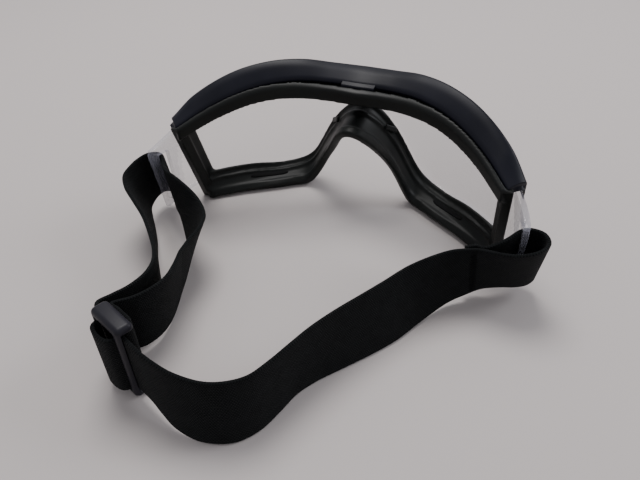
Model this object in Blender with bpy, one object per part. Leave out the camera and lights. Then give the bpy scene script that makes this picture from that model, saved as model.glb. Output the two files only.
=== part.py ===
"""Safety goggles on an elastic strap: a clear wraparound lens, a vented brow cover, a soft face seal and
a webbing strap with a sliding adjuster. Lengths are in millimetres; place() turns them into metres.

Frame: +X towards the wearer's right, +Y forward, +Z up. The goggles are symmetric about x = 0 in the
working frame; FRAME_SHIFT then moves everything so that the origin is under the middle of the whole object.
"""

import math

import bpy
import bmesh
from mathutils import Vector

MM = 0.001
FRAME_SHIFT = Vector((-0.4, 16.3, 0.0))

# Lens wrap, seen from above: a superellipse that leans back as it rises.
WRAP_HALF_WIDTH = 84.7
WRAP_DEPTH = 69.8
WRAP_REAR = 2.1
WRAP_POWER = 1.57
LEAN = 0.35
LEAN_HEIGHT = 30.0

LENS_INSET = 2.0
LENS_THICKNESS = 2.2
LENS_SOLID_SIDE = -1
LENS_UNDER_BROW = 5.4
SEAL_INSET = 6.2
BROW_HALF_WIDTH = 78.0
BROW_WALL = 1.6
BROW_SKIRT = 9.0
SEAL_HALF_WIDTH = 70.0
SEAL_WALL = 2.4
CHEEK_END = 1.6
NOSE_END = 33.0
GAP = 0.3

# Heights and depths at distances from the middle: (x, value).
BROW_TOP = [(0, 64.4), (14, 65.5), (28, 67.8), (42, 67.6), (56, 64.0), (70, 55.8), (78, 46.9)]
FLANGE_TOP = [(0, 57.8), (14, 58.9), (28, 59.4), (42, 57.7), (56, 53.0), (70, 45.8)]
FLANGE_REAR = [(0, 42.4), (14, 40.5), (28, 36.4), (42, 30.0), (56, 20.1), (70, 6.4)]
SILL_TOP = [(0, 48.0), (14, 37.8), (28, 14.0), (42, 8.0), (56, 10.5), (70, 12.7)]
FACE_REAR = [(0, 35.5), (14, 50.0), (28, 50.5), (42, 41.5), (56, 33.0), (70, 22.7)]
FACE_BASE = [(0, 40.0), (14, 21.0), (24, 3.5), (30, 0.0), (42, 0.0), (70, 0.0)]

# Share of the way from the brow's front edge to the flange's rear edge.
VENT_FRONT = 0.55
VENT_REAR = 0.79
VENT_START = 9.0
VENT_END = 66.0
TOP_WALL_DROP = 4.6

EAR_TOP = 34.6
EAR_BASE = 4.2
EAR_REAR_TOP = -1.5
EAR_REAR_BASE = 3.5
EAR_BAR = 4.0
SLOT_WIDTH = 5.8
SLOT_BASE = 6.2
SLOT_TOP = 32.6

STRAP_WIDTH = 25.0
STRAP_THICKNESS = 1.4
STRAP_JOINT = 1.0
HINGE_Y = 1.0
HINGE_Z = 19.4
SWING_RADIUS = 18.0
RIGHT_CUT = 69.85
LEFT_CUT = -66.15

SLIDER_MIDDLE = Vector((-36.5, -88.5, 0.0))
SLIDER_ANGLE = math.radians(-22.0)
SLIDER_ALONG = Vector((math.cos(SLIDER_ANGLE), math.sin(SLIDER_ANGLE), 0.0))
SLIDER_OUT = Vector((math.sin(SLIDER_ANGLE), -math.cos(SLIDER_ANGLE), 0.0))
SLIDER_LENGTH = 17.0
SLIDER_HEIGHT = 33.0
SLIDER_RAIL = 2.2
SLIDER_OUTER = 3.6
SLIDER_INNER = -4.6
END_BAR = 2.5
CENTRE_BAR = 2.5
STRAP_AT_SLIDER = 4.0
STRAIGHT_END = 16.5

# Points of the strap's middle line: (x, y, height of the lower edge, lean of the top in x, in y).
RIGHT_LOOP = [(66.0, -5.9, 4.0, -0.8, -2.0), (70.0, -5.4, 5.0, -1.0, -3.2), (76.0, -5.2, 6.6, -0.6, -4.4),
              (82.0, -4.0, 7.2, 0.0, -4.6), (87.0, -0.8, 7.4, 0.8, -4.0), (89.4, 4.2, 7.4, 1.0, -3.4),
              (87.6, 8.2, 7.4, 0.6, -2.6), (83.2, 9.2, 7.3, 0.0, -2.4), (79.6, 7.2, 7.2, 0.0, -2.6),
              (75.6, 1.2, 6.6, -0.6, -3.2), (70.0, -3.5, 5.0, -1.0, -3.2), (66.0, -4.2, 4.0, -0.8, -2.0)]
MAIN_RUN = [(72.0, -5.4, 5.2, -1.0, -3.4), (69.0, -5.4, 4.8, -1.0, -3.0), (64.0, -7.3, 3.2, -0.8, -1.2),
            (57.0, -11.6, 1.6, -1.4, 0.8), (48.0, -22.5, 0.6, -3.4, 2.0), (41.6, -34.0, 0.3, -3.9, 2.3),
            (36.0, -43.4, 0.3, -3.4, 2.1), (29.5, -53.6, 0.3, -2.4, 1.6), (23.6, -63.4, 0.3, -1.2, 0.8),
            (19.6, -72.0, 0.3, -0.5, 0.2), (16.8, -80.6, 0.3, -0.8, 0.3), (13.4, -88.8, 0.3, -1.2, 0.8),
            (7.4, -94.6, 0.3, -1.4, 2.0), (-0.6, -97.6, 0.6, 0.0, 2.4), (-9.4, -97.8, 1.6, 0.2, 1.6),
            (-16.0, -96.4, 3.0, 0.2, 0.6)]
OUTER_LEG = [(-48.2, -81.4, 3.8, 0.0, 0.0), (-46.6, -76.0, 3.4, 0.2, -0.1), (-45.0, -69.0, 2.6, 0.8, -0.5),
             (-45.2, -60.5, 1.9, 1.6, -1.0), (-47.8, -52.6, 1.5, 2.4, -1.8), (-52.0, -45.8, 1.3, 3.0, -2.6),
             (-57.6, -39.0, 1.6, 3.4, -3.2), (-63.0, -33.0, 2.2, 3.2, -3.8), (-68.6, -26.6, 3.2, 2.2, -4.4),
             (-75.4, -20.4, 4.6, 0.6, -4.8), (-82.0, -14.6, 6.0, -1.0, -4.8), (-86.6, -9.0, 7.0, -1.6, -4.2),
             (-88.2, -3.0, 7.3, -1.2, -3.6)]
LEFT_WRAP = [(-88.6, 2.4, 7.4, -0.8, -3.2), (-87.4, 7.4, 7.4, -0.4, -2.8), (-83.2, 9.2, 7.3, 0.0, -2.4),
             (-79.4, 7.0, 7.2, 0.2, -2.6), (-76.4, 1.8, 7.0, 0.8, -3.0)]
INNER_LEG = [(-72.0, -2.2, 6.8, 1.6, -2.6), (-65.6, -6.0, 6.0, 3.0, -1.8), (-56.6, -12.4, 4.6, 5.2, -0.4),
             (-49.4, -20.0, 3.2, 5.8, 0.2), (-45.4, -28.4, 2.2, 4.8, 0.2), (-43.6, -36.6, 1.4, 3.4, 0.0),
             (-41.6, -45.0, 1.2, 2.4, 0.0), (-38.8, -53.0, 1.4, 2.0, 0.2), (-36.8, -60.6, 2.0, 1.6, 0.2),
             (-36.8, -68.0, 2.8, 0.8, 0.0), (-39.0, -74.4, 3.4, 0.2, 0.0), (-42.6, -78.8, 3.8, 0.0, 0.0)]

COLOURS = {
    "clear": ((0.86, 0.89, 0.90, 1.0), 0.04),
    "brow": ((0.017, 0.018, 0.024, 1.0), 0.38),
    "vent": ((0.010, 0.010, 0.012, 1.0), 0.80),
    "seal": ((0.008, 0.010, 0.009, 1.0), 0.55),
    "webbing": ((0.006, 0.007, 0.008, 1.0), 0.92),
    "thread": ((0.010, 0.010, 0.011, 1.0), 0.70),
    "slider": ((0.028, 0.028, 0.034, 1.0), 0.45),
}


def clear_scene():
    for obj in list(bpy.data.objects):
        bpy.data.objects.remove(obj, do_unlink=True)


def material(name):
    """The named finish, made once."""
    found = bpy.data.materials.get(name)
    if found:
        return found
    colour, roughness = COLOURS[name]
    made = bpy.data.materials.new(name)
    made.use_nodes = True
    shader = made.node_tree.nodes["Principled BSDF"]
    shader.inputs["Base Color"].default_value = colour
    shader.inputs["Roughness"].default_value = roughness
    shader.inputs["Metallic"].default_value = 0.0
    if name == "clear":
        shader.inputs["Transmission Weight"].default_value = 0.95
    return made


def place(point):
    return (Vector(point) + FRAME_SHIFT) * MM


def make_object(name, points, faces, finish):
    mesh = bpy.data.meshes.new(name)
    mesh.from_pydata([place(p) for p in points], [], faces)
    mesh.validate()
    body = bmesh.new()
    body.from_mesh(mesh)
    bmesh.ops.recalc_face_normals(body, faces=body.faces)
    body.to_mesh(mesh)
    body.free()
    mesh.materials.append(material(finish))
    mesh.shade_smooth()
    mesh.set_sharp_from_angle(angle=math.radians(35))
    obj = bpy.data.objects.new(name, mesh)
    bpy.context.scene.collection.objects.link(obj)
    return obj


def smooth(knots, x):
    """A smooth curve through the knots (x, value), level in the middle of the goggles."""
    x = min(abs(x), knots[-1][0])
    k = 0
    while k < len(knots) - 2 and x > knots[k + 1][0]:
        k += 1

    def slope(i):
        if i == 0:
            return 0.0
        if i == len(knots) - 1:
            return (knots[i][1] - knots[i - 1][1]) / (knots[i][0] - knots[i - 1][0])
        return (knots[i + 1][1] - knots[i - 1][1]) / (knots[i + 1][0] - knots[i - 1][0])

    (x0, v0), (x1, v1) = knots[k], knots[k + 1]
    span = x1 - x0
    t = (x - x0) / span
    return (v0 * (1 + 2 * t) * (1 - t) ** 2 + v1 * t * t * (3 - 2 * t)
            + span * (slope(k) * t * (1 - t) ** 2 - slope(k + 1) * t * t * (1 - t)))


def wrap_point(x, z, inset):
    """The lens wrap at this x and height, so far inside the outermost surface."""
    share = min(abs(x) / (WRAP_HALF_WIDTH - inset), 1.0)
    depth = (WRAP_DEPTH - inset) * (1 - share ** WRAP_POWER) ** (1 / WRAP_POWER)
    return Vector((x, WRAP_REAR + depth - LEAN * (z - LEAN_HEIGHT), z))


def wrap_steps(half_width, count):
    """x values that run evenly round the wrap."""
    return [half_width * math.sin(math.radians(90) * (2 * i / count - 1)) for i in range(count + 1)]


def rings_to_solid(name, rings, finish):
    """A solid through closed rings of equally many points, with flat ends."""
    size = len(rings[0])
    points = [p for ring in rings for p in ring]
    faces = [tuple(range(size)), tuple(range((len(rings) - 1) * size, len(rings) * size))]
    for row in range(len(rings) - 1):
        for i in range(size):
            j = (i + 1) % size
            faces.append((row * size + i, row * size + j, (row + 1) * size + j, (row + 1) * size + i))
    return make_object(name, points, faces, finish)


def sheet(name, rows, finish, thickness, side):
    """A sheet through rows of points, given its thickness on one side (1 or -1) or about its middle (0)."""
    width = len(rows[0])
    points = [p for row in rows for p in row]
    faces = [(r * width + c, r * width + c + 1, (r + 1) * width + c + 1, (r + 1) * width + c)
             for r in range(len(rows) - 1) for c in range(width - 1)]
    obj = make_object(name, points, faces, finish)
    wall = obj.modifiers.new("wall", "SOLIDIFY")
    wall.thickness = thickness * MM
    wall.offset = side
    wall.use_even_offset = True
    return obj


def cutter(name, points, faces):
    """A helper for a Boolean, left out of the object itself."""
    obj = make_object(name, points, faces, "vent")
    obj.hide_render = True
    obj.display_type = "WIRE"
    return obj


def box(corner, along, across, up):
    """Points and faces of a box from one corner and three edges."""
    points = [corner + along * i + across * j + up * k for k in (0, 1) for j in (0, 1) for i in (0, 1)]
    faces = [(0, 2, 3, 1), (4, 5, 7, 6), (0, 1, 5, 4), (2, 6, 7, 3), (0, 4, 6, 2), (1, 3, 7, 5)]
    return points, faces


def boolean(obj, tool, operation):
    step = obj.modifiers.new(tool.name, "BOOLEAN")
    step.operation = operation
    step.object = tool


def rim(x, share, drop):
    """A point on the brow's top: share 0 at its front edge, 1 at the flange's rear edge, drop below it."""
    front = wrap_point(x, smooth(BROW_TOP, x), 0.0)
    inner = x * SEAL_HALF_WIDTH / BROW_HALF_WIDTH
    rear = Vector((inner, smooth(FLANGE_REAR, inner), smooth(FLANGE_TOP, inner)))
    point = front.lerp(rear, share)
    return point - Vector((0, 0, drop))


def rim_strip(name, start, end, count, section, finish):
    """A strip along the brow between two x values, with its section as (share, drop)."""
    first = math.asin(start / BROW_HALF_WIDTH)
    last = math.asin(end / BROW_HALF_WIDTH)
    rings = []
    for i in range(count + 1):
        x = BROW_HALF_WIDTH * math.sin(first + (last - first) * i / count)
        rings.append([rim(x, share, drop) for share, drop in section])
    return rings_to_solid(name, rings, finish)


def ear_columns(last, side):
    """Columns that carry the lens straight back from the end of its wrap to the strap bar."""
    x = side * (WRAP_HALF_WIDTH - LENS_INSET)
    steps = len(last) - 1
    rear = [Vector((x, EAR_REAR_BASE + (EAR_REAR_TOP - EAR_REAR_BASE) * k / steps,
                    EAR_BASE + (EAR_TOP - EAR_BASE) * k / steps)) for k in range(steps + 1)]
    return [[a.lerp(b, step / 3) for a, b in zip(last, rear)] for step in (1, 2, 3)]


def make_lens():
    columns = []
    ear_start = WRAP_HALF_WIDTH - LENS_INSET - BROW_HALF_WIDTH
    for x in wrap_steps(WRAP_HALF_WIDTH - LENS_INSET, 52):
        past_brow = max(abs(x) - BROW_HALF_WIDTH, 0.0) / ear_start
        past_seal = max(abs(x) - SEAL_HALF_WIDTH, 0.0) / (ear_start + BROW_HALF_WIDTH - SEAL_HALF_WIDTH)
        top = (smooth(BROW_TOP, x) - LENS_UNDER_BROW) * (1 - past_brow) + (EAR_TOP + 2.0) * past_brow
        base = (smooth(SILL_TOP, x) - 3.0) * (1 - past_seal) + (EAR_BASE + 0.5) * past_seal
        columns.append([wrap_point(x, base + (top - base) * k / 5, LENS_INSET) for k in range(6)])
    columns = ear_columns(columns[0], -1)[::-1] + columns + ear_columns(columns[-1], 1)
    lens = sheet("lens", columns, "clear", LENS_THICKNESS, LENS_SOLID_SIDE)
    rise = SLOT_TOP - SLOT_BASE
    lean = rise * (EAR_REAR_TOP - EAR_REAR_BASE) / (EAR_TOP - EAR_BASE)
    for side, label in ((-1, "left"), (1, "right")):
        corner = Vector((side * WRAP_HALF_WIDTH - 6.0, EAR_REAR_BASE + EAR_BAR, SLOT_BASE))
        shape = box(corner, Vector((12.0, 0, 0)), Vector((0, SLOT_WIDTH, 0)), Vector((0, lean, rise)))
        boolean(lens, cutter("slot_" + label, *shape), "DIFFERENCE")


def make_brow():
    rings = []
    steps = 44
    for i in range(steps + 1):
        x = BROW_HALF_WIDTH * math.sin(math.radians(90) * (2 * i / steps - 1))
        top = smooth(BROW_TOP, x)
        outside = abs(x) > VENT_END
        rear = VENT_REAR - 0.03 if outside else VENT_FRONT
        rings.append([
            rim(x, 0.0, 0.0), wrap_point(x, top - BROW_SKIRT, 0.0), wrap_point(x, top - BROW_SKIRT, BROW_WALL),
            wrap_point(x, top - 2.2, BROW_WALL), rim(x, rear, 2.2), rim(x, rear, 0.0), rim(x, 0.3, -0.9)])
    rings_to_solid("brow_cover", rings, "brow")
    rim_strip("brow_bridge", -VENT_START + 0.8, VENT_START - 0.8, 6,
              [(0.575, 0.1), (0.575, 4.2), (0.765, 4.2), (0.765, 0.1)], "brow")


def make_vents():
    section = [(0.49, 2.7), (0.49, 3.9), (0.765, 3.9), (0.765, 2.7)]
    rim_strip("vent_strip_left", -VENT_END + 1.5, -VENT_START - 0.5, 16, section, "vent")
    rim_strip("vent_strip_right", VENT_START + 0.5, VENT_END - 1.5, 16, section, "vent")


def make_top_wall():
    section = [(VENT_REAR, 0.0), (1.0, 0.0), (1.0, 6.0), (0.45, 6.6), (0.45, TOP_WALL_DROP),
               (VENT_REAR, TOP_WALL_DROP)]
    rim_strip("seal_top_wall", -BROW_HALF_WIDTH + 0.1, BROW_HALF_WIDTH - 0.1, 44, section, "seal")


def side_rear(z):
    """How far forward the side wall's rear edge stands at this height."""
    base, top = FACE_REAR[-1][1], FLANGE_REAR[-1][1]
    return base + (top - base) * z / FLANGE_TOP[-1][1]


def make_side(label, side):
    inner, outer, top, steps = SEAL_HALF_WIDTH, SEAL_HALF_WIDTH + 3.2, 39.0, 8
    rings = []
    for i in range(steps + 1):
        z = top * i / steps
        rings.append([Vector((side * inner, side_rear(z), z)), Vector((side * outer, side_rear(z) + 1.0, z)),
                      Vector((side * outer, wrap_point(outer, z, SEAL_INSET + GAP).y, z)),
                      Vector((side * inner, wrap_point(inner, z, SEAL_INSET + GAP).y, z))])
    rings_to_solid("seal_side_" + label, rings, "seal")


def sill_frame(x):
    """The sill's face edge, lens edge and upward normal at this x."""
    def edges(at):
        face = Vector((at, smooth(FACE_REAR, at), max(smooth(FACE_BASE, at), 0.0)))
        return face, wrap_point(at, smooth(SILL_TOP, at), SEAL_INSET + GAP)
    face, front = edges(x)
    before, after = edges(x - 1.0), edges(x + 1.0)
    along = after[0] + after[1] - before[0] - before[1]
    normal = along.cross(front - face).normalized()
    return face, front, normal


def sill_section(x):
    face, front, up = sill_frame(x)
    across = (front - face).normalized()
    level = Vector((0, front.y - face.y, 0)).normalized()
    upright = Vector((up.x, 0, up.z)).normalized()
    return [face, face + level * 4.0, front - upright * SEAL_WALL, front, face + across * 5.0 + up * SEAL_WALL,
            face + across * 4.0 + up * 3.4, face + up * 3.4]


def make_sill():
    def strip(name, start, end, count):
        xs = [start + (end - start) * i / count for i in range(count + 1)]
        rings_to_solid(name, [sill_section(x) for x in xs], "seal")
    strip("seal_nose_bridge", -NOSE_END + GAP, NOSE_END - GAP, 32)
    strip("seal_cheek_left", -SEAL_HALF_WIDTH + CHEEK_END, -NOSE_END - GAP, 12)
    strip("seal_cheek_right", NOSE_END + GAP, SEAL_HALF_WIDTH - CHEEK_END, 12)


def make_sill_trim():
    """The raised locating pegs on the nose arch and the breather strips in the cheeks."""
    for side, label in ((-1, "left"), (1, "right")):
        face, front, up = sill_frame(side * 12.0)
        across = (front - face).normalized()
        along = up.cross(across)
        corner = front - across * 6.0 + up * 1.7 - along * 3.5
        points, faces = box(corner, along * 7.0, across * 2.6, up * 1.2)
        peg = make_object("nose_peg_" + label, points, faces, "seal")
        soften(peg, 0.5)
        rings = []
        for i in range(9):
            x = side * (37.0 + 20.0 * i / 8)
            face, front, up = sill_frame(x)
            rings.append([face.lerp(front, share) + up * rise
                          for share, rise in ((0.45, 2.9), (0.75, 2.3), (0.75, 3.3), (0.45, 3.9))])
        rings_to_solid("cheek_breather_" + label, rings, "vent")


def soften(obj, width):
    edge = obj.modifiers.new("edge", "BEVEL")
    edge.width = width * MM
    edge.segments = 2
    edge.limit_method = "ANGLE"


def strap_curve(stations, step):
    """Points close along a smooth curve through the stations, each with all five of their values."""
    ends = [stations[0]] + list(stations) + [stations[-1]]
    curve = []
    for a, b, c, d in zip(ends, ends[1:], ends[2:], ends[3:]):
        count = max(2, round(math.dist(b[:2], c[:2]) / step))
        for i in range(count):
            t = i / count
            curve.append(tuple(0.5 * (2 * q + (r - p) * t + (2 * p - 5 * q + 4 * r - s) * t * t
                                      + (3 * q - p - 3 * r + s) * t ** 3) for p, q, r, s in zip(a, b, c, d)))
    return curve + [tuple(stations[-1])]


def band(name, curve, offset=0.0, finish="webbing"):
    """Webbing that stands on its lower edge along a curve, moved sideways by the offset."""
    rows = []
    for i, (x, y, base, lean_x, lean_y) in enumerate(curve):
        ahead, behind = curve[min(i + 1, len(curve) - 1)], curve[max(i - 1, 0)]
        along = Vector((ahead[0] - behind[0], ahead[1] - behind[1], 0.0)).normalized()
        side = Vector((along.y, -along.x, 0.0)) * offset
        half = STRAP_WIDTH / 2
        rise = math.sqrt(half * half - lean_x * lean_x - lean_y * lean_y)
        middle = Vector((x, y, base + rise)) + side
        rows.append([middle + Vector((lean_x, lean_y, rise)) * share for share in (-1, 0, 1)])
    return sheet(name, rows, finish, STRAP_THICKNESS, 0)


def slider_point(along, out, z=0.0):
    return SLIDER_MIDDLE + SLIDER_ALONG * along + SLIDER_OUT * out + Vector((0, 0, z))


def running_curve():
    """The strap from the right ear, round the back and through the slider to the left ear."""
    straight = [slider_point(s, 0.0, STRAP_AT_SLIDER) for s in (STRAIGHT_END, 11.0, 5.0, -1.0, -6.5)]
    stations = MAIN_RUN + [(p.x, p.y, p.z, 0.0, 0.0) for p in straight] + OUTER_LEG
    return strap_curve(stations, 3.0)


def split(curve, low, high):
    """The stretch of a curve between two shares of its length, with half a joint left at both ends."""
    lengths = [0.0]
    for a, b in zip(curve, curve[1:]):
        lengths.append(lengths[-1] + math.dist(a[:2], b[:2]))
    start, end = low + STRAP_JOINT / 2, high - STRAP_JOINT / 2

    def at(length):
        k = max(i for i in range(len(lengths) - 1) if lengths[i] <= length)
        t = (length - lengths[k]) / (lengths[k + 1] - lengths[k])
        return tuple(p + (q - p) * t for p, q in zip(curve[k], curve[k + 1]))

    inside = [c for c, length in zip(curve, lengths) if start + 0.2 < length < end - 0.2]
    return [at(start)] + inside + [at(end)]


def length_to(curve, test):
    """The length along a curve up to its first point that passes the test."""
    total = 0.0
    for a, b in zip(curve, curve[1:]):
        if test(a):
            return total
        total += math.dist(a[:2], b[:2])
    return total


def half_space(name, low, high):
    """A cutter that fills x from low to high over the whole object."""
    corner = Vector((low, -140.0, -40.0))
    return cutter(name, *box(corner, Vector((high - low, 0, 0)), Vector((0, 260.0, 0)), Vector((0, 0, 160.0))))


def swing_drum(name, radius):
    """A cutter round the strap's swing axis at the left ear."""
    steps = 48
    turns = [2 * math.pi * i / steps for i in range(steps)]
    rings = [[Vector((x, HINGE_Y + radius * math.cos(t), HINGE_Z + radius * math.sin(t))) for t in turns]
             for x in (-100.0, -62.0)]
    drum = rings_to_solid(name, rings, "vent")
    drum.hide_render = True
    drum.display_type = "WIRE"
    return drum


def make_strap():
    beyond_right = half_space("beyond_right_cut", RIGHT_CUT + GAP / 2, 110.0)
    before_right = half_space("before_right_cut", -110.0, RIGHT_CUT - GAP / 2)
    beyond_left = half_space("beyond_left_cut", -110.0, LEFT_CUT - GAP / 2)
    before_left = half_space("before_left_cut", LEFT_CUT + GAP / 2, 110.0)
    inside = swing_drum("inside_swing", SWING_RADIUS - GAP / 2)
    outside = swing_drum("outside_swing", SWING_RADIUS + GAP / 2)

    boolean(band("strap_right_loop", strap_curve(RIGHT_LOOP, 2.0)), beyond_right, "INTERSECT")
    running = running_curve()
    middle = length_to(running, lambda p: p[1] < -70.0)
    rear = length_to(running, lambda p: p[0] < -20.8)
    turn = length_to(running, lambda p: p[0] < -45.9)
    total = length_to(running, lambda p: False)
    boolean(band("strap_main_side", split(running, 0.0, middle)), before_right, "INTERSECT")
    band("strap_main_rear", split(running, middle, rear))
    band("strap_through_slider", split(running, rear, turn))
    boolean(band("strap_outer_leg", split(running, turn, total)), outside, "DIFFERENCE")
    wrap = band("strap_left_loop", strap_curve(OUTER_LEG[-5:] + LEFT_WRAP + INNER_LEG[:3], 2.0))
    boolean(wrap, inside, "INTERSECT")
    boolean(wrap, beyond_left, "INTERSECT")
    boolean(band("strap_inner_leg", strap_curve(INNER_LEG, 3.0)), before_left, "INTERSECT")

    tab = [p for p in strap_curve(MAIN_RUN, 2.0) if 61.0 < p[0] < 69.4]
    boolean(band("strap_right_tab", tab, offset=-(STRAP_THICKNESS + GAP)), before_right, "INTERSECT")


def make_sewn_end():
    """The strap's sewn end, round the slider's centre bar."""
    bar_middle = (SLIDER_INNER - 2.9) / 2
    turn_radius = 0.85 + GAP + STRAP_THICKNESS / 2
    path = [(-8.6, bar_middle + turn_radius), (-4.0, bar_middle + turn_radius)]
    for i in range(9):
        angle = math.pi * i / 8
        path.append((CENTRE_BAR / 2 + turn_radius * math.sin(angle) * 1.05 - 0.6,
                     bar_middle + turn_radius * math.cos(angle)))
    path += [(-4.0, bar_middle - turn_radius), (-8.6, bar_middle - turn_radius)]
    curve = []
    for along, out in path:
        p = slider_point(along, out)
        curve.append((p.x, p.y, STRAP_AT_SLIDER, 0.0, 0.0))
    band("strap_sewn_end", curve)


def make_slider():
    half = SLIDER_LENGTH / 2
    depth = SLIDER_OUTER - SLIDER_INNER
    corner = slider_point(-half, SLIDER_INNER)
    body = make_object("slider", *box(corner, SLIDER_ALONG * SLIDER_LENGTH, SLIDER_OUT * depth,
                                      Vector((0, 0, SLIDER_HEIGHT))), "slider")
    soften(body, 0.8)
    window = Vector((0, 0, SLIDER_HEIGHT - 2 * SLIDER_RAIL))
    reach = half + 1.0

    def open_up(name, along_from, along_to, out_from, out_to):
        shape = box(slider_point(along_from, out_from, SLIDER_RAIL), SLIDER_ALONG * (along_to - along_from),
                    SLIDER_OUT * (out_to - out_from), window)
        boolean(body, cutter(name, *shape), "DIFFERENCE")

    open_up("strap_way", -reach, reach, -2.9, 1.0)
    open_up("outer_window", END_BAR - half, half - END_BAR, 0.9, SLIDER_OUTER + 1.0)
    open_up("inner_window_right", CENTRE_BAR / 2, reach, SLIDER_INNER - 1.0, -2.8)
    open_up("inner_window_left", -reach, -CENTRE_BAR / 2, SLIDER_INNER - 1.0, -2.8)


def main():
    clear_scene()
    make_lens()
    make_brow()
    make_vents()
    make_top_wall()
    make_side("left", -1)
    make_side("right", 1)
    make_sill()
    make_sill_trim()
    make_strap()
    make_sewn_end()
    make_slider()


main()
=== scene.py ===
"""The finished look of the safety goggles: fine lens, moulded brow cover and face seal, woven strap and
adjuster, each over its CAD solid. Lengths are in millimetres in the part's working frame until place()."""

import math

import bmesh
import bpy
from mathutils import Matrix, Vector


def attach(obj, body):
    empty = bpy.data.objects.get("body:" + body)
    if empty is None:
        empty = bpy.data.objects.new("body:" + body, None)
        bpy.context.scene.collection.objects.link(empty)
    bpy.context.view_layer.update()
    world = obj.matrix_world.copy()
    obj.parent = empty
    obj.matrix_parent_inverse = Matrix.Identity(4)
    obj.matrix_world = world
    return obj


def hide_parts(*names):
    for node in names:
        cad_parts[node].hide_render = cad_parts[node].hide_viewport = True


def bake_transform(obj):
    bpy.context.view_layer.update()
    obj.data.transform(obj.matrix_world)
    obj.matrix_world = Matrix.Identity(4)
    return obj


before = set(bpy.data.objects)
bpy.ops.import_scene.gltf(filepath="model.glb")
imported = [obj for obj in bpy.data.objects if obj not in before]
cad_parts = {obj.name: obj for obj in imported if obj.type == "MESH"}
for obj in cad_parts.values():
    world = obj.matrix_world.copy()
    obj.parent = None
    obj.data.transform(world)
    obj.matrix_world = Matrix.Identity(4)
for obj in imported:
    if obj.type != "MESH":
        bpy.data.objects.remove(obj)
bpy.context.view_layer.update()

MM = 0.001
FRAME_SHIFT = Vector((-0.4, 16.3, 0.0))

# Lens wrap, seen from above: a superellipse that leans back as it rises.
WRAP_HALF_WIDTH = 84.7
WRAP_DEPTH = 69.8
WRAP_REAR = 2.1
WRAP_POWER = 1.57
LEAN = 0.35
LEAN_HEIGHT = 30.0

LENS_INSET = 2.0
LENS_THICKNESS = 2.2
LENS_UNDER_BROW = 5.4
SEAL_INSET = 6.5
SIDE_INSET = 5.0
SIDE_TOP = 45.4
BROW_HALF_WIDTH = 78.0
BROW_WALL = 1.6
BROW_SKIRT = 9.0
BROW_FLANGE = 2.2
BROW_CROWN = 0.9
BROW_CORNER = 1.6
SEAL_HALF_WIDTH = 70.0
SEAL_WALL = 2.4
SEAL_VOXEL = 0.62
BREATHER_START = 39.0
BREATHER_LENGTH = 16.0

BROW_TOP = [(0, 64.4), (14, 65.5), (28, 67.8), (42, 67.6), (56, 64.0), (70, 55.8), (78, 46.9)]
FLANGE_TOP = [(0, 57.8), (14, 58.9), (28, 59.4), (42, 57.7), (56, 53.0), (70, 45.8)]
FLANGE_REAR = [(0, 42.4), (14, 40.5), (28, 36.4), (42, 30.0), (56, 20.1), (70, 6.4)]
SILL_TOP = [(0, 48.0), (14, 37.8), (28, 14.0), (42, 8.0), (56, 10.5), (70, 12.7)]
FACE_REAR = [(0, 35.5), (14, 50.0), (28, 50.5), (42, 41.5), (56, 33.0), (70, 22.7)]
FACE_BASE = [(0, 40.0), (14, 21.0), (24, 3.5), (30, 0.0), (42, 0.0), (70, 0.0)]

VENT_FRONT = 0.66
VENT_REAR = 0.79
VENT_START = 9.0
VENT_END = 66.0
# The middle panel's outline in the brow's top, as (share, drop) for rim().
BRIDGE_OUTLINE = [(0.575, 0.1), (0.575, 4.2), (0.765, 4.2), (0.765, 0.1)]
VENT_TOP = 2.6
VENT_FLOOR = 3.9
VENT_SLAT = 0.3

EAR_TOP = 34.6
EAR_BASE = 4.2
EAR_REAR_TOP = -1.5
EAR_REAR_BASE = 3.5
EAR_BAR = 4.0
SLOT_WIDTH = 5.8
SLOT_BASE = 6.2
SLOT_TOP = 32.6
EAR_END = 15.5
RIM_TILT = 0.62

STRAP_WIDTH = 25.0
STRAP_THICKNESS = 1.4
RIB_SPACING = 0.95
CORD_SPACING = 1.25
FLAT_SHARE = 0.955
EDGE_ROUNDING = 0.55

SLIDER_MIDDLE = Vector((-36.5, -88.5, 0.0))
SLIDER_ANGLE = math.radians(-22.0)
SLIDER_ALONG = Vector((math.cos(SLIDER_ANGLE), math.sin(SLIDER_ANGLE), 0.0))
SLIDER_OUT = Vector((math.sin(SLIDER_ANGLE), -math.cos(SLIDER_ANGLE), 0.0))
SLIDER_LENGTH = 17.0
SLIDER_HEIGHT = 33.0
SLIDER_RAIL = 2.2
# Where the adjuster's faces and its centre bar lie, outwards from the strap: closer in than in its CAD solid.
SLIDER_OUTER = 2.5
SLIDER_INNER = -4.1
BAR_MIDDLE = -3.75
END_BAR = 2.5
CENTRE_BAR = 2.5
STRAP_AT_SLIDER = 4.0
STRAP_MEETS = 4.0

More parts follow.
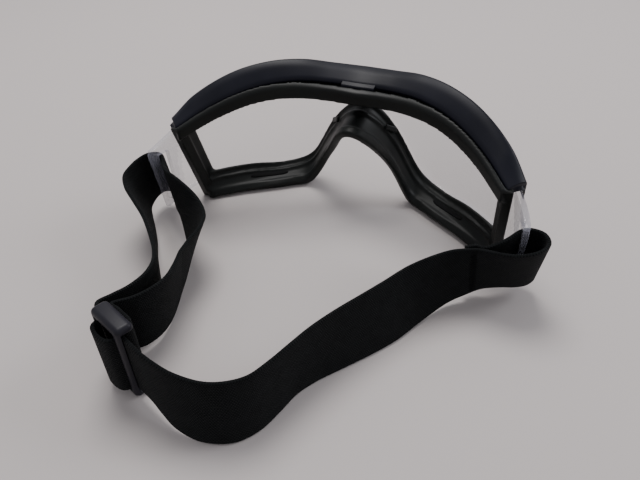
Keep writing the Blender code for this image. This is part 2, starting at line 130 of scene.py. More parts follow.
# Points of the strap's middle line: (x, y, height of the lower edge, lean of the top in x, in y).
RIGHT_LOOP = [(62.6, -6.2, 3.4, -0.8, -1.4), (66.0, -3.9, 4.0, -0.8, -2.0), (70.0, -3.3, 5.0, -1.0, -3.2),
              (75.6, 1.2, 6.6, -0.6, -3.2), (79.6, 7.2, 7.2, 0.0, -2.6), (83.2, 9.2, 7.3, 0.0, -2.4),
              (87.6, 8.2, 7.4, 0.6, -2.6), (89.4, 4.2, 7.4, 1.0, -3.4), (87.0, -0.8, 7.4, 0.8, -4.0),
              (82.0, -4.0, 7.2, 0.0, -4.6), (76.0, -5.2, 6.6, -0.6, -4.4)]
MAIN_RUN = [(69.0, -5.4, 4.8, -1.0, -3.0), (64.0, -7.3, 3.2, -0.8, -1.2),
            (57.0, -11.6, 1.6, -1.4, 0.8), (48.0, -22.5, 0.6, -3.4, 2.0), (41.6, -34.0, 0.3, -3.9, 2.3),
            (36.0, -43.4, 0.3, -3.4, 2.1), (29.5, -53.6, 0.3, -2.4, 1.6), (23.6, -63.4, 0.3, -1.2, 0.8),
            (19.6, -72.0, 0.3, -0.5, 0.2), (16.8, -80.6, 0.3, -0.8, 0.3), (13.4, -88.8, 0.3, -1.2, 0.8),
            (7.4, -94.6, 0.3, -1.4, 2.0), (-0.6, -97.6, 0.6, 0.0, 2.4), (-9.4, -97.8, 1.6, 0.2, 1.6),
            (-16.0, -96.4, 3.0, 0.2, 0.6)]
OUTER_LEG = [(-48.2, -81.4, 3.8, 0.0, 0.0), (-46.6, -76.0, 3.4, 0.2, -0.1), (-45.0, -69.0, 2.6, 0.8, -0.5),
             (-45.2, -60.5, 1.9, 1.6, -1.0), (-47.8, -52.6, 1.5, 2.4, -1.8), (-52.0, -45.8, 1.3, 3.0, -2.6),
             (-57.6, -39.0, 1.6, 3.4, -3.2), (-63.0, -33.0, 2.2, 3.2, -3.8), (-68.6, -26.6, 3.2, 2.2, -4.4),
             (-75.4, -20.4, 4.6, 0.6, -4.8), (-82.0, -14.6, 6.0, -1.0, -4.8), (-86.6, -9.0, 7.0, -1.6, -4.2),
             (-88.2, -3.0, 7.3, -1.2, -3.6)]
LEFT_WRAP = [(-88.6, 2.4, 7.4, -0.8, -3.2), (-87.4, 7.4, 7.4, -0.4, -2.8), (-83.2, 9.2, 7.3, 0.0, -2.4),
             (-79.4, 7.0, 7.2, 0.2, -2.6), (-76.4, 1.8, 7.0, 0.8, -3.0)]
INNER_LEG = [(-72.0, -2.2, 6.8, 1.6, -2.6), (-65.6, -6.0, 6.0, 3.0, -1.8), (-56.6, -12.4, 4.6, 5.2, -0.4),
             (-49.4, -20.0, 3.2, 5.8, 0.2), (-45.4, -28.4, 2.2, 4.8, 0.2), (-43.6, -36.6, 1.4, 3.4, 0.0),
             (-41.6, -45.0, 1.2, 2.4, 0.0)]
INNER_END = [(-38.8, -53.0, 1.4, 2.0, 0.2), (-36.8, -60.6, 2.0, 1.6, 0.2),
             (-36.8, -68.0, 2.8, 0.8, 0.0), (-39.0, -74.4, 3.4, 0.2, 0.0)]

# Where the goggles are seen from: the viewpoint in the working frame, and the camera's turn, tilt and roll.
VIEWPOINT = Vector((75.9, -180.0, 163.6))
CAMERA_TURN = math.radians(22.9)
CAMERA_TILT = math.radians(38.5)
CAMERA_ROLL = math.radians(-1.5)
CAMERA_LENS = 32.18


def place(point):
    return (Vector(point) + FRAME_SHIFT) * MM


# ---------------------------------------------------------------- camera, floor and light

def make_camera():
    data = bpy.data.cameras.new("camera")
    data.lens = CAMERA_LENS
    data.sensor_width = 36.0
    data.clip_start = 0.01
    obj = bpy.data.objects.new("camera", data)
    bpy.context.scene.collection.objects.link(obj)
    tilt = math.cos(CAMERA_TILT)
    forward = Vector((-math.sin(CAMERA_TURN) * tilt, math.cos(CAMERA_TURN) * tilt, -math.sin(CAMERA_TILT)))
    right = Vector((math.cos(CAMERA_TURN), math.sin(CAMERA_TURN), 0.0))
    up = right.cross(forward)
    turned_right = right * math.cos(CAMERA_ROLL) + up * math.sin(CAMERA_ROLL)
    turned_up = up * math.cos(CAMERA_ROLL) - right * math.sin(CAMERA_ROLL)
    turn = Matrix((turned_right, turned_up, -forward)).transposed()
    obj.matrix_world = Matrix.Translation(place(VIEWPOINT)) @ turn.to_4x4()
    bpy.context.scene.camera = obj


def make_floor():
    mesh = bpy.data.meshes.new("floor")
    reach = 3.0
    mesh.from_pydata([(-reach, -reach, 0), (reach, -reach, 0), (reach, reach, 0), (-reach, reach, 0)],
                     [], [(0, 1, 2, 3)])
    floor = bpy.data.objects.new("floor", mesh)
    bpy.context.scene.collection.objects.link(floor)
    paint = bpy.data.materials.new("floor_paint")
    paint.use_nodes = True
    shader = paint.node_tree.nodes["Principled BSDF"]
    shader.inputs["Base Color"].default_value = (0.56, 0.515, 0.50, 1.0)
    shader.inputs["Roughness"].default_value = 0.75
    mesh.materials.append(paint)


def area_light(name, spot, aim, size, power, colour):
    data = bpy.data.lights.new(name, "AREA")
    data.shape = "DISK"
    data.size = size
    data.energy = power
    data.color = colour
    obj = bpy.data.objects.new(name, data)
    bpy.context.scene.collection.objects.link(obj)
    obj.location = spot
    obj.rotation_euler = (Vector(aim) - Vector(spot)).to_track_quat("-Z", "Y").to_euler()


def make_lights():
    world = bpy.data.worlds.new("studio")
    bpy.context.scene.world = world
    world.use_nodes = True
    sky = world.node_tree.nodes["Background"]
    sky.inputs["Color"].default_value = (0.95, 0.95, 1.0, 1.0)
    sky.inputs["Strength"].default_value = 0.55
    area_light("overhead", (-0.25, 0.35, 0.95), (0.0, 0.0, 0.03), 0.55, 7.5, (1.0, 0.98, 0.97))
    area_light("window", (0.75, 0.55, 0.65), (0.0, 0.02, 0.03), 0.45, 3.2, (0.93, 0.95, 1.0))


# ---------------------------------------------------------------- materials

def new_material(name, colour, roughness):
    made = bpy.data.materials.new(name)
    made.use_nodes = True
    shader = made.node_tree.nodes["Principled BSDF"]
    shader.inputs["Base Color"].default_value = (*colour, 1.0)
    shader.inputs["Roughness"].default_value = roughness
    return made, made.node_tree, shader


def add_noise(tree, scale, detail):
    source = tree.nodes.new("ShaderNodeTexCoord")
    noise = tree.nodes.new("ShaderNodeTexNoise")
    noise.inputs["Scale"].default_value = scale
    noise.inputs["Detail"].default_value = detail
    tree.links.new(source.outputs["Object"], noise.inputs["Vector"])
    return noise.outputs["Fac"]


def add_range(tree, value, low, high, start=0.3, end=0.7):
    """The value carried from start..end to low..high."""
    step = tree.nodes.new("ShaderNodeMapRange")
    step.inputs["From Min"].default_value = start
    step.inputs["From Max"].default_value = end
    step.inputs["To Min"].default_value = low
    step.inputs["To Max"].default_value = high
    tree.links.new(value, step.inputs["Value"])
    return step.outputs["Result"]


def add_tint(tree, value, dark, light):
    ramp = tree.nodes.new("ShaderNodeValToRGB")
    ramp.color_ramp.elements[0].position = 0.3
    ramp.color_ramp.elements[0].color = (*dark, 1.0)
    ramp.color_ramp.elements[1].position = 0.72
    ramp.color_ramp.elements[1].color = (*light, 1.0)
    tree.links.new(value, ramp.inputs["Fac"])
    return ramp.outputs["Color"]


def add_bump(tree, shader, height, strength, distance):
    bump = tree.nodes.new("ShaderNodeBump")
    bump.inputs["Strength"].default_value = strength
    bump.inputs["Distance"].default_value = distance
    tree.links.new(height, bump.inputs["Height"])
    tree.links.new(bump.outputs["Normal"], shader.inputs["Normal"])


def moulded(name, dark, light, smooth_rough, worn_rough, grain, depth, gloss=0.24):
    """Moulded plastic or elastomer: a faint grain, uneven sheen and slightly rubbed patches."""
    made, tree, shader = new_material(name, light, worn_rough)
    shader.inputs["Specular IOR Level"].default_value = gloss
    patches = add_noise(tree, 42.0, 4.0)
    tree.links.new(add_tint(tree, patches, dark, light), shader.inputs["Base Color"])
    tree.links.new(add_range(tree, patches, smooth_rough, worn_rough), shader.inputs["Roughness"])
    add_bump(tree, shader, add_noise(tree, grain, 2.0), 0.35, depth)
    return made


def math_node(tree, kind, first, second=None):
    step = tree.nodes.new("ShaderNodeMath")
    step.operation = kind
    for socket, value in zip(step.inputs, (first, second)):
        if value is None:
            continue
        if isinstance(value, float):
            socket.default_value = value
        else:
            tree.links.new(value, socket)
    return step.outputs["Value"]


def woven(name, dark, light):
    """Elastic webbing: fine cords along its length, crossed by weft ribs. Its UVs are in millimetres."""
    made, tree, shader = new_material(name, light, 0.9)
    shader.inputs["Sheen Weight"].default_value = 0.03
    shader.inputs["Sheen Roughness"].default_value = 0.5
    shader.inputs["Specular IOR Level"].default_value = 0.12
    source = tree.nodes.new("ShaderNodeUVMap")
    source.uv_map = "weave"
    parts = tree.nodes.new("ShaderNodeSeparateXYZ")
    tree.links.new(source.outputs["UV"], parts.inputs["Vector"])
    length, width = parts.outputs["X"], parts.outputs["Y"]
    ribs = math_node(tree, "SINE", math_node(tree, "MULTIPLY", length, 2 * math.pi / RIB_SPACING))
    cords = math_node(tree, "SINE", math_node(tree, "MULTIPLY", width, 2 * math.pi / CORD_SPACING))
    cloth = math_node(tree, "ADD", math_node(tree, "MULTIPLY", ribs, cords),
                      math_node(tree, "ABSOLUTE", cords))
    add_bump(tree, shader, cloth, 0.75, 0.00022)
    fluff = add_noise(tree, 260.0, 5.0)
    # The weave's relief also tints the colour: lighter on the raised cords and ribs, darker in the hollows,
    # which is painted shade. The fluff noise is the yarn's own uneven tone.
    shade = math_node(tree, "ADD", math_node(tree, "MULTIPLY", cloth, 0.09), fluff)
    tree.links.new(add_tint(tree, shade, dark, light), shader.inputs["Base Color"])
    return made


def clear(name, colour, faint, strong):
    """Clear polycarbonate: nearly unseen face on, stronger where it turns away."""
    made, tree, shader = new_material(name, colour, 0.05)
    shader.inputs["IOR"].default_value = 1.58
    edge = tree.nodes.new("ShaderNodeLayerWeight")
    edge.inputs["Blend"].default_value = 0.35
    scuffs = add_noise(tree, 75.0, 6.0)
    tree.links.new(add_range(tree, scuffs, 0.03, 0.14), shader.inputs["Roughness"])
    tree.links.new(add_range(tree, edge.outputs["Facing"], faint, strong, 0.2, 1.0), shader.inputs["Alpha"])
    return made


def make_materials():
    return {
        "clear": clear("clear_polycarbonate", (0.36, 0.38, 0.43), 0.03, 0.42),
        # A lighter, more opaque copy of the clear finish for the ears and cut rims: painted highlight on the
        # same clear plastic.
        "ear": clear("clear_polycarbonate_painted_highlight", (0.55, 0.55, 0.64), 0.16, 0.80),
        "brow": moulded("brow_satin", (0.0040, 0.0044, 0.0085), (0.0080, 0.0086, 0.0155),
                        0.36, 0.48, 2400.0, 0.00004, gloss=0.16),
        "vent": moulded("vent_felt", (0.0015, 0.0015, 0.0015), (0.0035, 0.0035, 0.004),
                        0.85, 0.95, 1500.0, 0.00025),
        "seal": moulded("seal_rubber", (0.0022, 0.0029, 0.0026), (0.0055, 0.0070, 0.0060),
                        0.36, 0.54, 1300.0, 0.00006),
        "webbing": woven("strap_weave", (0.0016, 0.0021, 0.0024), (0.0044, 0.0053, 0.0058)),
        "thread": moulded("strap_thread", (0.003, 0.003, 0.004), (0.008, 0.008, 0.009),
                          0.6, 0.75, 3000.0, 0.00006),
        "slider": moulded("slider_satin", (0.009, 0.0085, 0.013), (0.017, 0.016, 0.024),
                          0.38, 0.52, 2000.0, 0.00004),
    }


FINISH = make_materials()


# ---------------------------------------------------------------- shapes

def make_object(name, points, faces, finish):
    mesh = bpy.data.meshes.new(name)
    mesh.from_pydata([place(p) for p in points], [], faces)
    body = bmesh.new()
    body.from_mesh(mesh)
    bmesh.ops.recalc_face_normals(body, faces=body.faces)
    body.to_mesh(mesh)
    body.free()
    mesh.materials.append(FINISH[finish])
    mesh.shade_smooth()
    obj = bpy.data.objects.new(name, mesh)
    bpy.context.scene.collection.objects.link(obj)
    return obj


def smooth(knots, x):
    """A smooth curve through the knots (x, value), level in the middle of the goggles."""
    x = min(abs(x), knots[-1][0])
    k = 0
    while k < len(knots) - 2 and x > knots[k + 1][0]:
        k += 1

    def slope(i):
        if i == 0:
            return 0.0
        if i == len(knots) - 1:
            return (knots[i][1] - knots[i - 1][1]) / (knots[i][0] - knots[i - 1][0])
        return (knots[i + 1][1] - knots[i - 1][1]) / (knots[i + 1][0] - knots[i - 1][0])

    (x0, v0), (x1, v1) = knots[k], knots[k + 1]
    span = x1 - x0
    t = (x - x0) / span
    return (v0 * (1 + 2 * t) * (1 - t) ** 2 + v1 * t * t * (3 - 2 * t)
            + span * (slope(k) * t * (1 - t) ** 2 - slope(k + 1) * t * t * (1 - t)))


def wrap_point(x, z, inset):
    """The lens wrap at this x and height, so far inside the outermost surface."""
    share = min(abs(x) / (WRAP_HALF_WIDTH - inset), 1.0)
    depth = (WRAP_DEPTH - inset) * (1 - share ** WRAP_POWER) ** (1 / WRAP_POWER)
    return Vector((x, WRAP_REAR + depth - LEAN * (z - LEAN_HEIGHT), z))


def rim(x, share, drop):
    """A point on the brow's top: share 0 at its front edge, 1 at the flange's rear edge, drop below it."""
    front = wrap_point(x, smooth(BROW_TOP, x), 0.0)
    inner = x * SEAL_HALF_WIDTH / BROW_HALF_WIDTH
    rear = Vector((inner, smooth(FLANGE_REAR, inner), smooth(FLANGE_TOP, inner)))
    return front.lerp(rear, share) - Vector((0, 0, drop))


def rounded(section, radius, steps=4):
    """The closed outline with each corner turned into a short curve."""
    soft = []
    for i, corner in enumerate(section):
        before, after = section[i - 1], section[(i + 1) % len(section)]
        reach_in = min(radius, 0.45 * (before - corner).length)
        reach_out = min(radius, 0.45 * (after - corner).length)
        start = corner + (before - corner).normalized() * reach_in
        end = corner + (after - corner).normalized() * reach_out
        for k in range(steps + 1):
            t = k / steps
            soft.append(start * (1 - t) ** 2 + corner * 2 * t * (1 - t) + end * t * t)
    return soft


def middle_of(ring):
    return sum(ring, Vector((0, 0, 0))) / len(ring)


def soft_ends(rings, size):
    """The rings with both ends rounded over by this size."""
    def end(last, before):
        middle = middle_of(last)
        out = (middle - middle_of(before)).normalized()
        made = []
        for turn in (0, 30, 60, 90):
            a = math.radians(turn)
            back = out * size * (1 - math.sin(a))
            made.append([p - back + (middle - p).normalized() * size * (1 - math.cos(a)) for p in last])
        return made
    return end(rings[0], rings[1])[::-1] + rings[1:-1] + end(rings[-1], rings[-2])


def loft(name, rings, finish):
    """A closed solid through rings of equally many points."""
    size = len(rings[0])
    points = [p for ring in rings for p in ring]
    faces = [tuple(range(size)), tuple(range((len(rings) - 1) * size, len(rings) * size))]
    for row in range(len(rings) - 1):
        for i in range(size):
            j = (i + 1) % size
            faces.append((row * size + i, row * size + j, (row + 1) * size + j, (row + 1) * size + i))
    return make_object(name, points, faces, finish)


def box(corner, along, across, up):
    points = [corner + along * i + across * j + up * k for k in (0, 1) for j in (0, 1) for i in (0, 1)]
    faces = [(0, 2, 3, 1), (4, 5, 7, 6), (0, 1, 5, 4), (2, 6, 7, 3), (0, 4, 6, 2), (1, 3, 7, 5)]
    return points, faces


def cut(obj, points, faces):
    """Takes a shape out of the object."""
    tool = make_object(obj.name + "_cutter", points, faces, "vent")
    step = obj.modifiers.new("cut", "BOOLEAN")
    step.operation = "DIFFERENCE"
    step.object = tool
    apply_modifiers(obj)
    bpy.data.objects.remove(tool, do_unlink=True)


def apply_modifiers(obj):
    bpy.context.view_layer.update()
    graph = bpy.context.evaluated_depsgraph_get()
    finished = bpy.data.meshes.new_from_object(obj.evaluated_get(graph))
    obj.modifiers.clear()
    obj.data = finished


def bevelled(obj, width, segments, angle=35.0):
    edge = obj.modifiers.new("edge", "BEVEL")
    edge.width = width * MM
    edge.segments = segments
    edge.limit_method = "ANGLE"
    edge.angle_limit = math.radians(angle)
    apply_modifiers(obj)


def shade(obj, angle=40.0):
    obj.data.shade_smooth()
    obj.data.set_sharp_from_angle(angle=math.radians(angle))


def keep(obj, slot, body, *nodes):
    """The piece rides on a body and stands for its CAD nodes; its slot is not used."""
    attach(obj, body)
    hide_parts(*nodes)


# ---------------------------------------------------------------- lens, brow cover and vents

def even_steps(half_width, count):
    return [half_width * math.sin(math.radians(90) * (2 * i / count - 1)) for i in range(count + 1)]


def make_lens():
    rows = 14
    columns = []
    reach = WRAP_HALF_WIDTH - LENS_INSET
    for x in even_steps(reach, 150):
        past_brow = max(abs(x) - BROW_HALF_WIDTH, 0.0) / (reach - BROW_HALF_WIDTH)
        past_seal = max(abs(x) - SEAL_HALF_WIDTH, 0.0) / (reach - SEAL_HALF_WIDTH)
        top = (smooth(BROW_TOP, x) - LENS_UNDER_BROW) * (1 - past_brow) + (EAR_TOP + 2.0) * past_brow
        base = (smooth(SILL_TOP, x) - 3.0) * (1 - past_seal) + (EAR_BASE + 0.5) * past_seal
        columns.append([wrap_point(x, base + (top - base) * k / rows, LENS_INSET) for k in range(rows + 1)])

    def ear(last, side):
        rear = [Vector((side * reach, EAR_REAR_BASE + (EAR_REAR_TOP - EAR_REAR_BASE) * k / rows,
                        EAR_BASE + (EAR_TOP - EAR_BASE) * k / rows)) for k in range(rows + 1)]
        return [[a.lerp(b, step / 8) for a, b in zip(last, rear)] for step in range(1, 9)]

    columns = ear(columns[0], -1)[::-1] + columns + ear(columns[-1], 1)
    width = rows + 1
    faces = [(r * width + c, r * width + c + 1, (r + 1) * width + c + 1, (r + 1) * width + c)
             for r in range(len(columns) - 1) for c in range(width - 1)]
    lens = make_object("lens_shell", [p for column in columns for p in column], faces, "clear")
    wall = lens.modifiers.new("wall", "SOLIDIFY")
    wall.thickness = LENS_THICKNESS * MM
    wall.offset = -1
    wall.use_even_offset = True
    apply_modifiers(lens)
    rise = SLOT_TOP - SLOT_BASE
    lean = rise * (EAR_REAR_TOP - EAR_REAR_BASE) / (EAR_TOP - EAR_BASE)
    for side in (-1, 1):
        corner = Vector((side * WRAP_HALF_WIDTH - 6.0, EAR_REAR_BASE + EAR_BAR, SLOT_BASE))
        cut(lens, *box(corner, Vector((12.0, 0, 0)), Vector((0, SLOT_WIDTH, 0)), Vector((0, lean, rise))))
    bevelled(lens, 0.35, 3)
    shade(lens)
    # The ears and the steep rim faces take the lighter copy of the clear finish, painted highlight for the
    # glint in the clear plastic.
    lens.data.materials.append(FINISH["ear"])
    ear_start = place((0.0, EAR_END, 0.0)).y
    for face in lens.data.polygons:
        spot = face.center
        if spot.y < ear_start or abs(face.normal.z) > RIM_TILT:
            face.material_index = 1
    keep(lens, "clear_lens", "root", "lens")


def ease(value):
    value = min(max(value, 0.0), 1.0)
    return value * value * (3 - 2 * value)


def make_brow():
    rings = []
    for x in even_steps(BROW_HALF_WIDTH, 150):
        top = smooth(BROW_TOP, x)
        past_start = ease((abs(x) - VENT_START) / (VENT_END - VENT_START))
        rear = VENT_FRONT + (VENT_REAR - 0.02 - VENT_FRONT) * past_start
        outline = [rim(x, 0.0, 0.0), wrap_point(x, top - BROW_SKIRT, 0.0),
                   wrap_point(x, top - BROW_SKIRT, BROW_WALL), wrap_point(x, top - BROW_FLANGE, BROW_WALL),
                   rim(x, rear, BROW_FLANGE), rim(x, rear, 0.0), rim(x, 0.3, -BROW_CROWN)]
        rings.append(rounded(outline, BROW_CORNER))
    cover = loft("brow_shell", soft_ends(rings, 0.5), "brow")
    shade(cover, 50)
    keep(cover, "brow_plastic", "root", "brow_cover")
    rings = []
    reach = VENT_START - 0.8
    for x in even_steps(reach, 24):
        outline = [rim(x, share, drop) for share, drop in BRIDGE_OUTLINE]
        rings.append(rounded(outline, 0.7))
    bridge = loft("brow_middle", soft_ends(rings, 0.5), "brow")
    shade(bridge, 50)
    keep(bridge, "brow_plastic", "root", "brow_bridge")


def make_vents():
    """The filter strips under the brow, with shallow slats across them."""
    for side, label in ((-1, "left"), (1, "right")):
        first, last = VENT_START - 0.7, VENT_END - 1.5
        count = 96
        rings = []
        for i in range(count + 1):
            x = side * (first + (last - first) * i / count)
            slat = VENT_SLAT if i % 4 < 2 and 0 < i < count else 0.0
            rings.append([rim(x, 0.30, VENT_TOP + slat), rim(x, 0.30, VENT_FLOOR),
                          rim(x, 0.78, VENT_FLOOR), rim(x, 0.78, VENT_TOP + slat)])
        strip = loft("vent_filter_" + label, rings, "vent")
        shade(strip, 20)
        keep(strip, "vent_filter", "root", "vent_strip_" + label)


# ---------------------------------------------------------------- face seal

def sill_section(x):
    """The seal's lower wall: face edge, floor with two ribs, and the lip against the lens."""
    def edges(at):
        face = Vector((at, smooth(FACE_REAR, at), max(smooth(FACE_BASE, at), 0.0)))
        return face, wrap_point(at, smooth(SILL_TOP, at), SEAL_INSET)
    face, front = edges(x)
    before, after = edges(x - 1.0), edges(x + 1.0)
    along = after[0] + after[1] - before[0] - before[1]
    up = along.cross(front - face).normalized()
    across = (front - face).normalized()
    level = Vector((0, front.y - face.y, 0)).normalized()
    upright = Vector((up.x, 0, up.z)).normalized()
    floor_rear = face + across * 5.0 + up * SEAL_WALL

    def floor(share, rise):
        return floor_rear.lerp(front, share) + up * rise

    return [face, face + level * 4.0, front - upright * SEAL_WALL, front, floor(0.97, 1.1), floor(0.86, 1.1),
            floor(0.80, 0.0), floor(0.62, 0.0), floor(0.56, 1.0), floor(0.48, 1.0), floor(0.42, 0.0),
            floor(0.16, 0.0), floor_rear, face + across * 4.0 + up * 3.4, face + up * 3.4]


def side_ring(side, z):
    inner, outer = SEAL_HALF_WIDTH, SEAL_HALF_WIDTH + 3.2
    base, top = FACE_REAR[-1][1], FLANGE_REAR[-1][1]
    rear = base + (top - base) * z / FLANGE_TOP[-1][1]
    front = wrap_point(inner, z, SIDE_INSET).y
    return [Vector((side * inner, rear, z)), Vector((side * (outer + 1.2), rear + 0.6, z)),
            Vector((side * outer, wrap_point(outer, z, SIDE_INSET).y, z)), Vector((side * inner, front, z)),
            Vector((side * inner, rear + 5.4, z)), Vector((side * (inner - 1.3), rear + 4.6, z)),
            Vector((side * (inner - 1.3), rear + 3.4, z)), Vector((side * inner, rear + 2.6, z))]


def joined(name, objects):
    """One object of all these, without changing their points."""
    body = bmesh.new()
    for obj in objects:
        body.from_mesh(obj.data)
    mesh = bpy.data.meshes.new(name)
    body.to_mesh(mesh)
    body.free()
    mesh.materials.append(objects[0].data.materials[0])
    made = bpy.data.objects.new(name, mesh)
    bpy.context.scene.collection.objects.link(made)
    for obj in objects:
        bpy.data.objects.remove(obj, do_unlink=True)
    return made


def make_seal():
    """One soft moulding: top wall, sides, cheeks and nose arch grown together with soft fillets."""
    rings = []
    section = [(VENT_REAR, 0.0), (1.0, 0.0), (1.0, 6.0), (0.45, 6.6), (0.45, 4.6), (VENT_REAR, 4.6)]
    for x in even_steps(BROW_HALF_WIDTH - 0.1, 130):
        rings.append(rounded([rim(x, share, drop) for share, drop in section], 1.0))
    parts = [loft("top", rings, "seal")]
    for side in (-1, 1):
        rings = [side_ring(side, SIDE_TOP * i / 44) for i in range(45)]
        parts.append(loft("side", rings, "seal"))
    reach = SEAL_HALF_WIDTH + 0.8
    rings = [sill_section(reach * (2 * i / 150 - 1)) for i in range(151)]
    parts.append(loft("sill", rings, "seal"))
    seal = joined("face_seal", parts)
    skin = seal.modifiers.new("skin", "REMESH")
    skin.mode = "VOXEL"
    skin.voxel_size = SEAL_VOXEL * MM
    relax = seal.modifiers.new("relax", "SMOOTH")
    relax.factor = 0.5
    relax.iterations = 4
    apply_modifiers(seal)
    seal.data.shade_smooth()
    keep(seal, "seal_elastomer", "root", "seal_top_wall", "seal_side_left", "seal_side_right",
         "seal_cheek_left", "seal_cheek_right", "seal_nose_bridge")
    for node in ("nose_peg_left", "nose_peg_right"):
        repaint(node, "seal")


def make_breathers():
    """A low pad with rounded ends on each cheek's floor, between the face edge and the ribs."""
    for side, label in ((-1, "left"), (1, "right")):
        rings = []
        for i in range(33):
            section = sill_section(side * (BREATHER_START + BREATHER_LENGTH * i / 32))
            face, front, floor_rear = section[0], section[3], section[12]
            up = (section[13] - face - (front - face).normalized() * 4.0).normalized()
            ends = 0.5 + 0.5 * math.sin(math.pi * min(i, 32 - i, 4) / 8)
            low, high = 0.30 - 0.10 * ends, 0.30 + 0.10 * ends
            corners = ((low, -0.4), (high, -0.4), (high, 0.45), (low, 0.45))
            outline = [floor_rear.lerp(front, share) + up * rise for share, rise in corners]
            rings.append(rounded(outline, 0.4))
        pad = loft("breather_" + label, rings, "vent")
        shade(pad, 50)
        keep(pad, "vent_filter", "root", "cheek_breather_" + label)


def repaint(node, finish):
    """A CAD solid that stays gets the finish and softly rounded edges."""
    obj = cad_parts[node]
    for slot in obj.material_slots:
        slot.material = FINISH[finish]
    edge = obj.modifiers.new("edge", "BEVEL")
    edge.width = 0.25 * MM
    edge.segments = 3
    edge.limit_method = "ANGLE"


# ---------------------------------------------------------------- strap

def strap_curve(stations, step):
    """Points close along a smooth curve through the stations, each with all five of their values."""
    ends = [stations[0]] + list(stations) + [stations[-1]]
    curve = []
    for a, b, c, d in zip(ends, ends[1:], ends[2:], ends[3:]):
        count = max(2, round(math.dist(b[:2], c[:2]) / step))
        for i in range(count):
            t = i / count
            curve.append(tuple(0.5 * (2 * q + (r - p) * t + (2 * p - 5 * q + 4 * r - s) * t * t
                                      + (3 * q - p - 3 * r + s) * t ** 3) for p, q, r, s in zip(a, b, c, d)))
    return curve + [tuple(stations[-1])]


def band_frames(curve, offset=0.0):
    """Middle point, direction across and face normal of the webbing at each point of the curve."""
    frames = []
    for i, (x, y, base, lean_x, lean_y) in enumerate(curve):
        ahead, behind = curve[min(i + 1, len(curve) - 1)], curve[max(i - 1, 0)]
        along = Vector((ahead[0] - behind[0], ahead[1] - behind[1], 0.0)).normalized()
        half = STRAP_WIDTH / 2
        rise = math.sqrt(half * half - lean_x * lean_x - lean_y * lean_y)
        across = Vector((lean_x, lean_y, rise)) / half
        normal = along.cross(across).normalized()
        frames.append((Vector((x, y, base + rise)) + normal * offset, across, normal))
    return frames


def band(name, curve, offset=0.0):
    """Webbing with rounded edges that stands on its lower edge along a curve, with its weave in its UVs."""
    half, thick = STRAP_WIDTH / 2, STRAP_THICKNESS / 2
    profile = []
    for k in range(13):
        profile.append((half * FLAT_SHARE * (2 * k / 12 - 1), thick))
    for turn in (60, 20, -20, -60):
        a = math.radians(turn)
        profile.append((half * FLAT_SHARE + EDGE_ROUNDING * math.cos(a), thick * math.sin(a)))
    for k in range(13):
        profile.append((half * FLAT_SHARE * (1 - 2 * k / 12), -thick))
    for turn in (-60, -20, 20, 60):
        a = math.radians(turn)
        profile.append((-half * FLAT_SHARE - EDGE_ROUNDING * math.cos(a), thick * math.sin(a)))
    frames = band_frames(curve, offset)
    rings = [[middle + across * s + normal * t for s, t in profile] for middle, across, normal in frames]
    obj = loft(name, rings, "webbing")
    lengths = [0.0]
    for a, b in zip(frames, frames[1:]):
        lengths.append(lengths[-1] + (b[0] - a[0]).length)
    weave = obj.data.uv_layers.new(name="weave")
    size = len(profile)
    for corner in obj.data.loops:
        row, place_in_ring = divmod(corner.vertex_index, size)
        weave.data[corner.index].uv = (lengths[row], profile[place_in_ring][0])
    shade(obj, 60)
    return obj


def slider_point(along, out, z=0.0):
    return SLIDER_MIDDLE + SLIDER_ALONG * along + SLIDER_OUT * out + Vector((0, 0, z))


def straight_run(*alongs):
    """Stations of the strap where it runs straight through the adjuster."""
    points = [slider_point(s, 0.0, STRAP_AT_SLIDER) for s in alongs]
    return [(p.x, p.y, p.z, 0.0, 0.0) for p in points]


def webbing_piece(obj, bodies, start, end, *nodes):
    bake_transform(obj)
    if nodes:
        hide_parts(*nodes)


RIGHT_BLEND = (("root", "strap"), (74.0, 0.0, 19.4), (50.0, 0.0, 19.4))
LEFT_BLEND = (("root", "strap"), (-60.0, -2.0, 19.4), (-60.0, -45.0, 19.4))
END_BLEND = (("strap", "slider"), (-40.0, -52.0, 16.0), (-40.0, -76.0, 16.0))


def make_strap():
    run = RIGHT_LOOP + MAIN_RUN + straight_run(16.5, 11.0, 8.0, STRAP_MEETS)
    main = band("strap_webbing_main", strap_curve(run, 1.2))
    webbing_piece(main, *RIGHT_BLEND,
                  "strap_right_loop", "strap_main_side", "strap_main_rear", "strap_right_tab")
    through = straight_run(STRAP_MEETS + 0.1, 0.0, -4.0, -6.5)
    left = band("strap_webbing_left", strap_curve(through + OUTER_LEG + LEFT_WRAP + INNER_LEG, 1.2))
    webbing_piece(left, *LEFT_BLEND, "strap_outer_leg", "strap_left_loop", "strap_through_slider")
    turn_radius = 0.85 + 0.3 + STRAP_THICKNESS / 2
    path = [(along, BAR_MIDDLE - turn_radius) for along in (-9.5, -6.0, -3.0)]
    for i in range(8, -1, -1):
        angle = math.pi * i / 8
        path.append((CENTRE_BAR / 2 + turn_radius * math.sin(angle) * 1.05 - 0.6,
                     BAR_MIDDLE + turn_radius * math.cos(angle)))
    path += [(-3.0, BAR_MIDDLE + turn_radius), (-8.4, BAR_MIDDLE + turn_radius)]
    turn = []
    for along, out in path:
        p = slider_point(along, out)
        turn.append((p.x, p.y, STRAP_AT_SLIDER, 0.0, 0.0))
    end = band("strap_webbing_end", strap_curve(INNER_LEG[-1:] + INNER_END + turn, 1.0))
    webbing_piece(end, *END_BLEND, "strap_inner_leg", "strap_sewn_end")


def make_adjuster_loop():
    """The doubled webbing that stands proud of the adjuster's outer window."""
    path = [(5.7, 1.45), (5.5, 2.8), (4.6, 4.3), (2.4, 5.1), (0.0, 5.3),
            (-2.4, 5.1), (-4.6, 4.3), (-5.5, 2.8), (-5.7, 1.45)]
    stations = []
    for along, out in path:
        p = slider_point(along, out)
        stations.append((p.x, p.y, STRAP_AT_SLIDER, 0.0, 0.0))
    loop = band("strap_webbing_loop", strap_curve(stations, 0.7))
    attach(loop, "slider")


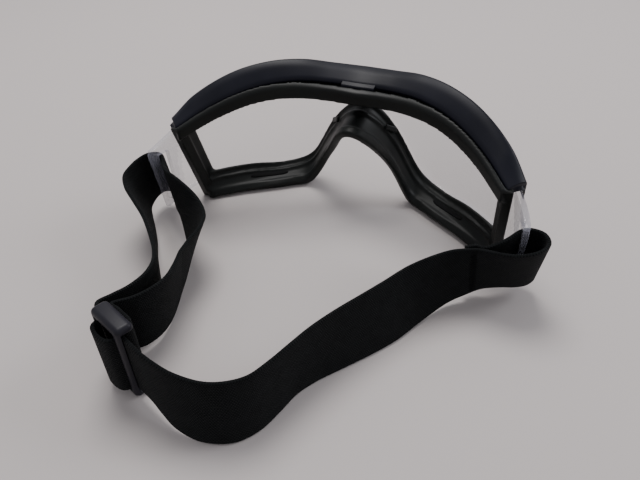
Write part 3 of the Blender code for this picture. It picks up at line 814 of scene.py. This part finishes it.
def tube(name, points, radius):
    """A round thread through the points, as a closed mesh."""
    rings = []
    for i, p in enumerate(points):
        along = (points[min(i + 1, len(points) - 1)] - points[max(i - 1, 0)]).normalized()
        first = along.orthogonal().normalized()
        second = along.cross(first)
        rings.append([p + (first * math.cos(a) + second * math.sin(a)) * radius
                      for a in (math.pi * k / 3 for k in range(6))])
    return loft(name, rings, "thread")


def bar_tack(name, curve, side, rows):
    """A zigzag of thread down the webbing's face at one place of the curve."""
    frames = band_frames(curve)
    middle, across, normal = frames[len(frames) // 2]
    ahead = (frames[-1][0] - frames[0][0]).normalized()
    points = []
    for i in range(rows + 1):
        shift = (2 * i / rows - 1) * (STRAP_WIDTH / 2 - 1.6)
        points.append(middle + across * shift + ahead * (1.1 if i % 2 else -1.1)
                      + normal * side * (STRAP_THICKNESS / 2 + 0.08))
    return tube(name, points, 0.22)


def make_stitches():
    outer = bar_tack("tack_right_outer", strap_curve(MAIN_RUN[:2], 1.0), 1.0, 44)
    inner = bar_tack("tack_right_inner", strap_curve(MAIN_RUN[:2], 1.0), -1.0, 44)
    for tack in (outer, inner):
        webbing_piece(tack, *RIGHT_BLEND)


# ---------------------------------------------------------------- adjuster

def make_adjuster():
    half = SLIDER_LENGTH / 2
    depth = SLIDER_OUTER - SLIDER_INNER
    body = make_object("adjuster", *box(slider_point(-half, SLIDER_INNER), SLIDER_ALONG * SLIDER_LENGTH,
                                        SLIDER_OUT * depth, Vector((0, 0, SLIDER_HEIGHT))), "slider")
    bevelled(body, 1.9, 5)
    window = Vector((0, 0, SLIDER_HEIGHT - 2 * SLIDER_RAIL))
    reach = half + 1.0

    def open_up(along_from, along_to, out_from, out_to):
        corner = slider_point(along_from, out_from, SLIDER_RAIL)
        along = SLIDER_ALONG * (along_to - along_from)
        out = SLIDER_OUT * (out_to - out_from)
        cut(body, *box(corner, along, out, window))

    open_up(-reach, reach, -2.9, 1.0)
    open_up(END_BAR - half, half - END_BAR, 0.9, SLIDER_OUTER + 1.0)
    open_up(CENTRE_BAR / 2, reach, SLIDER_INNER - 1.0, -2.8)
    open_up(-reach, -CENTRE_BAR / 2, SLIDER_INNER - 1.0, -2.8)
    bevelled(body, 0.25, 2, 50.0)
    shade(body, 50)
    keep(body, "slider_plastic", "slider", "slider")


make_camera()
make_floor()
make_lights()
make_lens()
make_brow()
make_vents()
make_seal()
make_breathers()
make_strap()
make_adjuster_loop()
make_stitches()
make_adjuster()
